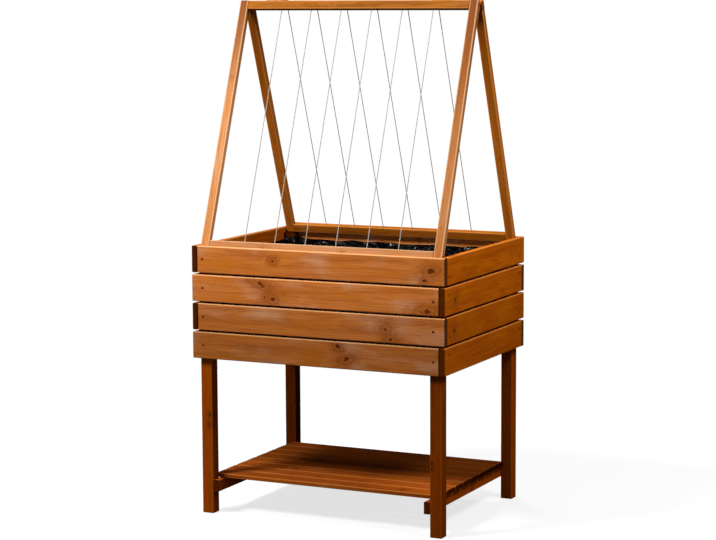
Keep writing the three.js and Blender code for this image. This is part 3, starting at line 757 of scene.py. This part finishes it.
def buildTwine(frameName, side, body, material):
    t, sides = twine, twine["sides"]
    points, length = evenly(twineRoute(), t["lay"] / t["stepsPerLay"])
    place = leanPlace(side)
    verts, faces = [], []
    count = len(points)
    for strand in range(3):
        first = len(verts)
        for index, point in enumerate(points):
            way = (points[min(index + 1, count - 1)] - points[max(index - 1, 0)]).normalized()
            binormal = (yAxis - way * way.dot(yAxis)).normalized()
            normal = binormal.cross(way)
            twist = 2 * math.pi * (index / t["stepsPerLay"] + strand / 3)
            centre = point + (normal * math.cos(twist) + binormal * math.sin(twist)) * t["strandOffset"]
            for corner in range(sides):
                angle = 2 * math.pi * corner / sides + twist
                rim = centre + (normal * math.cos(angle) + binormal * math.sin(angle)) * t["strandRadius"]
                verts.append(place @ (Vector((rim.x, rim.y + side * trellis["fromRidge"], rim.z)) * mm))
        for index in range(count - 1):
            for corner in range(sides):
                a = first + index * sides + corner
                b = first + index * sides + (corner + 1) % sides
                faces.append((a, b, b + sides, a + sides))
        faces.append(tuple(first + corner for corner in reversed(range(sides))))
        last = first + (count - 1) * sides
        faces.append(tuple(last + corner for corner in range(sides)))
    mesh = meshFrom(f"{frameName}Twine", verts, faces)
    piece = newPiece(f"{frameName}_twine", mesh, material, body)
    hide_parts(f"{frameName}_cord")
    print(frameName, "twine", round(length), "mm")


twineMaterial = cottonTwine()
for frameName, (side, body) in frames.items():
    buildTwine(frameName, side, body, twineMaterial)


# Screws: countersunk steel heads with a cross recess, browned by a chromate dip.

crossHead = {  # in shares of the head's radius; a ring is its radius and its drop below the face
    "armWidth": 0.14, "armReach": 0.6, "widestArm": 36, "columnsPerArm": 8, "depth": 0.34, "slope": 0.6,
    "rings": ((0.17, 0), (0.3, 0), (0.45, 0), (0.6, 0), (0.72, 0), (0.9, 0), (1.0, 0.1), (1.0, 0.35)),
}


def brownedSteel(name, pale, dark, roughness):
    material, tree = newMaterial(name)
    _, tarnish, colour = mottled(tree, 1 / (4 * mm), 4.0, dark, pale)
    gloss = addNode(tree, "MapRange", {}, {
        "Value": tarnish, "From Min": 0.3, "From Max": 0.7,
        "To Min": roughness, "To Max": roughness + 0.2})
    surface = addNode(tree, "BsdfPrincipled", {}, {
        "Base Color": colour, "Roughness": gloss, "Metallic": 1.0, "Specular Tint": linear(pale)})
    addNode(tree, "OutputMaterial", {}, {"Surface": surface})
    return material


def screwHeads(name, heads, material, body):
    # heads: (centre of the top, outward direction, radius) in metres
    c = crossHead
    dice = random.Random(name)
    verts, faces = [], []
    columns = 4 * c["columnsPerArm"]
    for centre, outward, radius in heads:
        spin = Matrix.Rotation(dice.uniform(0, math.pi / 2), 3, outward)
        turn = turnedTo(spin @ outward.orthogonal().normalized(), outward)
        first = len(verts)
        verts.append(centre + turn @ Vector((0, 0, -c["depth"] * radius)))
        for ring, drop in c["rings"]:
            armHalf = min(c["widestArm"], math.degrees(math.asin(min(1, c["armWidth"] / ring))))
            offsets = (-45, -30, -armHalf, -armHalf * 0.65, 0, armHalf * 0.65, armHalf, 30)
            for column in range(columns):
                arm, part = divmod(column, c["columnsPerArm"])
                angle = math.radians(arm * 90 + offsets[part])
                height = -drop
                if part in (3, 4, 5) and ring < c["armReach"]:
                    height = -c["depth"] * (1 - c["slope"] * ring / c["armReach"])
                spot = Vector((ring * math.cos(angle), ring * math.sin(angle), height))
                verts.append(centre + turn @ (spot * radius))
        for column in range(columns):
            following = (column + 1) % columns
            faces.append((first, first + 1 + column, first + 1 + following))
            for number in range(len(c["rings"]) - 1):
                a = first + 1 + number * columns
                faces.append((a + column, a + columns + column, a + columns + following, a + following))
        base = first + 1 + (len(c["rings"]) - 1) * columns
        faces.append(tuple(base + column for column in reversed(range(columns))))
    mesh = meshFrom(name, verts, faces, smooth=False)
    return newPiece(name, mesh, material, body)


screws = {"boardHead": 4.3, "slatHead": 3.7, "sink": 0.52}
screwSteel = brownedSteel("brownChromateSteel", "#6E3A18", "#3A1A08", 0.5)
sunk = screws["sink"] * mm
boardHead, slatHead = screws["boardHead"] * mm, screws["slatHead"] * mm

heads = []
for wallName, wall in walls.items():
    along, outward = wall["along"], wall["outward"]
    for course in courses:
        low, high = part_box(f"{wallName}_board_{course}")
        face = max(outward.dot(low), outward.dot(high))
        shift = wall["screwShift"] * (1 if course % 2 else -1) * mm
        for end in (-1, 1):
            spot = along * end * abs(along.xy.dot(postCentre)) + outward * (face - sunk)
            spot.z = (low.z + high.z) / 2 - shift
            heads.append((spot, outward, boardHead))
screwHeads("wall_screw_heads", heads, screwSteel, "planter")

heads = []
for index in range(1, shelf["slats"] + 1):
    low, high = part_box(f"shelf_slat_{index}")
    for xSide in (-1, 1):
        spot = Vector((xSide * railMiddle, (low.y + high.y) / 2, high.z - sunk))
        heads.append((spot, zAxis, slatHead))
for xSide in (-1, 1):
    for ySide in (-1, 1):
        spot = Vector((xSide * (railInner + sunk), ySide * postCentre.y, railCentreZ))
        heads.append((spot, -xAxis * xSide, boardHead))
screwHeads("shelf_screw_heads", heads, screwSteel, "planter")

heads = []
for ySide in (-1, 1):
    for index in range(floorFrame["ledgerScrews"]):
        x = (index - (floorFrame["ledgerScrews"] - 1) / 2) * floorFrame["ledgerPitch"] * mm
        spot = Vector((x, ySide * (ledgerInner + sunk), ledgerCentreZ))
        heads.append((spot, -yAxis * ySide, slatHead))
    for index in range(1, floorFrame["boards"] + 1):
        low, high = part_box(f"floor_board_{index}")
        spot = Vector(((low.x + high.x) / 2, ySide * ledgerMiddle, high.z - sunk))
        heads.append((spot, zAxis, slatHead))
screwHeads("floor_screw_heads", heads, screwSteel, "planter")

for frameName, (side, body) in frames.items():
    place, turn = leanPlace(side), leanTurn(side)
    heads = []
    for xSide in (-1, 1):
        for height in (bottomRailZ, topRailZ):
            if frameName == "rear_frame" and height == topRailZ:
                at, outward = Vector((xSide * stileMiddle, 0, -trellis["pinRise"])), turn @ zAxis
            else:
                at, outward = Vector((xSide * trellis["halfSpan"], 0, height)), xAxis * xSide
            at.y = side * trellis["fromRidge"]
            heads.append((place @ (at * mm) - outward * sunk, outward, boardHead))
    screwHeads(f"{frameName}_screw_heads", heads, screwSteel, body)
print("screws driven")


# Hinges: stamped steel leaves rolled into knuckles round a pin with a domed head.

hinge = {
    "middle": 267.0, "length": 55.0, "reach": 17.5, "leaf": 1.6, "knuckle": 3.8, "bore": 1.85,
    "knuckles": 5, "gap": 0.6, "relief": 0.5, "corner": 3.0, "pin": 1.5, "headRadius": 3.0,
    "screwPitch": 30.0, "screwInset": 10.0, "screwRadius": 2.8, "screwProud": 0.12, "sides": 24,
    "chamfer": 0.25, "tongueChamfer": 0.05, "sharpFrom": 38,
}


def ringAt(build, x, radius, sides):
    angles = [2 * math.pi * k / sides for k in range(sides)]
    return [build.verts.new((x, radius * math.cos(angle), radius * math.sin(angle))) for angle in angles]


def addTube(build, start, end, inner, outer, sides, chamfer):
    # a thick tube along X with chamfered rims, all round its axis
    profile = [(start, inner), (start, outer - chamfer), (start + chamfer, outer),
               (end - chamfer, outer), (end, outer - chamfer), (end, inner)]
    rings = [ringAt(build, x, radius, sides) for x, radius in profile]
    for before, after in zip(rings, rings[1:] + rings[:1]):
        for k in range(sides):
            build.faces.new((before[k], before[(k + 1) % sides], after[(k + 1) % sides], after[k]))


def addPlate(build, outline, low, high, chamfer):
    # a flat plate from an outline in X and Y, with a chamfer round its top
    bottom = [build.verts.new((x, y, low)) for x, y in outline]
    shoulder = [build.verts.new((x, y, high - chamfer)) for x, y in outline]
    centre = Vector((sum(x for x, y in outline), sum(y for x, y in outline))) / len(outline)
    top = []
    for x, y in outline:
        inward = (centre - Vector((x, y))).normalized() * chamfer
        top.append(build.verts.new((x + inward.x, y + inward.y, high)))
    count = len(outline)
    for k in range(count):
        n = (k + 1) % count
        build.faces.new((bottom[k], bottom[n], shoulder[n], shoulder[k]))
        build.faces.new((shoulder[k], shoulder[n], top[n], top[k]))
    build.faces.new(top)
    build.faces.new(bottom[::-1])


def finished(build, name, place):
    bmesh.ops.recalc_face_normals(build, faces=build.faces[:])
    bmesh.ops.scale(build, vec=(mm, mm, mm), verts=build.verts[:])
    bmesh.ops.transform(build, matrix=place, verts=build.verts[:])
    mesh = bpy.data.meshes.new(name)
    build.to_mesh(mesh)
    build.free()
    mesh.shade_smooth()
    mesh.set_sharp_from_angle(angle=math.radians(hinge["sharpFrom"]))
    return mesh


def buildLeaf(sideName, frameName, xSide, side, body):
    h = hinge
    place = leanPlace(side) @ Matrix.Translation((xSide * h["middle"] * mm, 0, 0))
    build = bmesh.new()
    low, high = -h["knuckle"], -h["knuckle"] + h["leaf"]
    root, tip = h["knuckle"] + h["relief"], h["reach"]
    r, x = h["corner"], h["length"] / 2
    outline = [(-x, root), (x, root)]
    for corner, start in (((x - r, tip - r), 0), ((-x + r, tip - r), 90)):
        for part in range(6):
            angle = math.radians(start + part * 18)
            outline.append((corner[0] + r * math.cos(angle), corner[1] + r * math.sin(angle)))
    addPlate(build, [(px, side * py) for px, py in outline], low, high, h["chamfer"])
    pitch = h["length"] / h["knuckles"]
    for index in range(0 if side < 0 else 1, h["knuckles"], 2):
        start = -x + index * pitch + (h["gap"] / 2 if index else 0)
        end = -x + (index + 1) * pitch - (h["gap"] / 2 if index < h["knuckles"] - 1 else 0)
        addTube(build, start, end, h["bore"], h["knuckle"], h["sides"], h["chamfer"])
        tongue = [(start, 0), (end, 0), (end, side * (root + 1)), (start, side * (root + 1))]
        addPlate(build, tongue, low, high, h["tongueChamfer"])
    mesh = finished(build, f"{sideName}{frameName}Leaf", place)
    piece = newPiece(f"{sideName}_{frameName}_leaf", mesh, hingeSteel, body)
    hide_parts(f"{sideName}_hinge_{frameName}_leaf")
    heads = []
    for end in (-1, 1):
        spot = Vector((end * h["screwPitch"] / 2, side * h["screwInset"], high + h["screwProud"]))
        heads.append((place @ (spot * mm), leanTurn(side) @ zAxis, h["screwRadius"] * mm))
    screwHeads(f"{sideName}_{frameName}_leaf_screws", heads, screwSteel, body)


def buildPin(sideName, xSide):
    # turned from one rod, with a domed head at its outer end
    h = hinge
    build = bmesh.new()
    low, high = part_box(f"{sideName}_hinge_pin")
    start, end = low.x / mm - xSide * h["middle"], high.x / mm - xSide * h["middle"]
    profile = [(start, 0), (start + 0.05, 1.4), (start + 0.35, 2.5), (start + 0.8, h["headRadius"]),
               (start + 1.2, h["headRadius"]), (start + 1.2, h["pin"]),
               (end - 0.4, h["pin"]), (end, h["pin"] - 0.5), (end, 0)]
    rings = [ringAt(build, x, radius, h["sides"] if radius else 1) for x, radius in profile]
    for before, after in zip(rings, rings[1:]):
        for k in range(h["sides"]):
            n = (k + 1) % h["sides"]
            corners = [ring[i % len(ring)] for ring, i in ((before, k), (before, n), (after, n), (after, k))]
            build.faces.new(list(dict.fromkeys(corners)))
    place = Matrix.Translation(ridge) @ Matrix.Translation((xSide * h["middle"] * mm, 0, 0))
    mesh = finished(build, f"{sideName}Pin", place)
    piece = newPiece(f"{sideName}_pin", mesh, hingeSteel, "trellis_front")
    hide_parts(f"{sideName}_hinge_pin")


hingeSteel = brownedSteel("bronzedSteel", "#6E4A30", "#3E281A", 0.4)
for sideName, xSide in (("left", -1), ("right", 1)):
    for frameName, (side, body) in frames.items():
        buildLeaf(sideName, frameName, xSide, side, body)
    buildPin(sideName, xSide)
print("hinges made")


# Stage: a pale floor that shows white and keeps the shadow, soft lamps and the camera.

stage = {"floorSize": 40.0, "nearGlow": 0.74, "fadeFrom": 0.9, "fadeTo": 2.4, "floorBounce": "#626262",
         "ambient": 0.2}


def seenDirectly(tree):
    path = addNode(tree, "LightPath")
    seen = addNode(tree, "Math", {"operation": "MAXIMUM"}, {
        0: path.outputs["Is Camera Ray"], 1: path.outputs["Is Glossy Ray"]})
    return addNode(tree, "Math", {"operation": "MAXIMUM"}, {0: seen, 1: path.outputs["Is Transmission Ray"]})


def paleFloor():
    # it keeps the shadow near the object and turns wholly white further out, so no horizon shows
    material, tree = newMaterial("mattPaintedFloor")
    where = addNode(tree, "TexCoord").outputs["Object"]
    away = addNode(tree, "VectorMath", {"operation": "LENGTH"}, {0: where}).outputs["Value"]
    share = addNode(tree, "MapRange", eased, {
        "Value": away, "From Min": stage["fadeFrom"], "From Max": stage["fadeTo"],
        "To Min": stage["nearGlow"]})
    glow = addNode(tree, "Emission", {}, {"Color": (1, 1, 1, 1), "Strength": 1.0})
    white = addNode(tree, "BsdfDiffuse", {}, {"Color": linear("#F4F4F4")})
    shown = addNode(tree, "MixShader", {}, {0: share, 1: white, 2: glow})
    grey = addNode(tree, "BsdfDiffuse", {}, {"Color": linear(stage["floorBounce"])})
    surface = addNode(tree, "MixShader", {}, {0: seenDirectly(tree), 1: grey, 2: shown})
    addNode(tree, "OutputMaterial", {}, {"Surface": surface})
    return material


reach = stage["floorSize"]
floorCorners = [(-reach, -reach, 0), (reach, -reach, 0), (reach, reach, 0), (-reach, reach, 0)]
floorMesh = meshFrom("floor", floorCorners, [(0, 1, 2, 3)])
floor = newObject("floor", floorMesh)
floorMesh.materials.append(paleFloor())

world = bpy.data.worlds.new("studio")
bpy.context.scene.world = world
world.use_nodes = True
world.node_tree.nodes.clear()
dim, full = (addNode(world.node_tree, "Background", {}, {
    "Color": (1, 1, 1, 1), "Strength": strength}) for strength in (stage["ambient"], 1.0))
sky = addNode(world.node_tree, "MixShader", {}, {0: seenDirectly(world.node_tree), 1: dim, 2: full})
addNode(world.node_tree, "OutputWorld", {}, {"Surface": sky})

lamps = {  # place and aim in metres, size in metres, power in watts
    "keySoftbox": ((-1.8, -2.4, 3.7), (0, -0.2, 0.9), 1.1, 250),
    "sideSoftbox": ((2.2, -0.3, 3.2), (0, 0, 0.9), 0.9, 85),
    "backSoftbox": ((-1.4, 2.4, 3.8), (0, 0.2, 0.9), 1.2, 70),
}
for name, (place, aim, size, power) in lamps.items():
    data = bpy.data.lights.new(name, "AREA")
    data.size, data.energy = size, power
    light = newObject(name, data)
    light.location = place
    light.rotation_euler = (Vector(aim) - Vector(place)).to_track_quat("-Z", "Y").to_euler()

photoEye = {"place": (2.7455, -5.7334, 1.5163), "lens": 109.09, "yaw": 25.655, "pitch": 7.252, "roll": -0.272}
eyeData = bpy.data.cameras.new("eye")
eyeData.sensor_width = 36
eyeData.lens = photoEye["lens"]
eyeData.clip_end = 100
eye = newObject("eye", eyeData)
eye.location = photoEye["place"]
eye.rotation_euler = (math.radians(90 - photoEye["pitch"]), 0, math.radians(photoEye["yaw"]))
eye.rotation_euler.rotate_axis("Z", math.radians(photoEye["roll"]))
bpy.context.scene.camera = eye
bpy.context.scene.view_settings.view_transform = "Standard"
print("stage set")
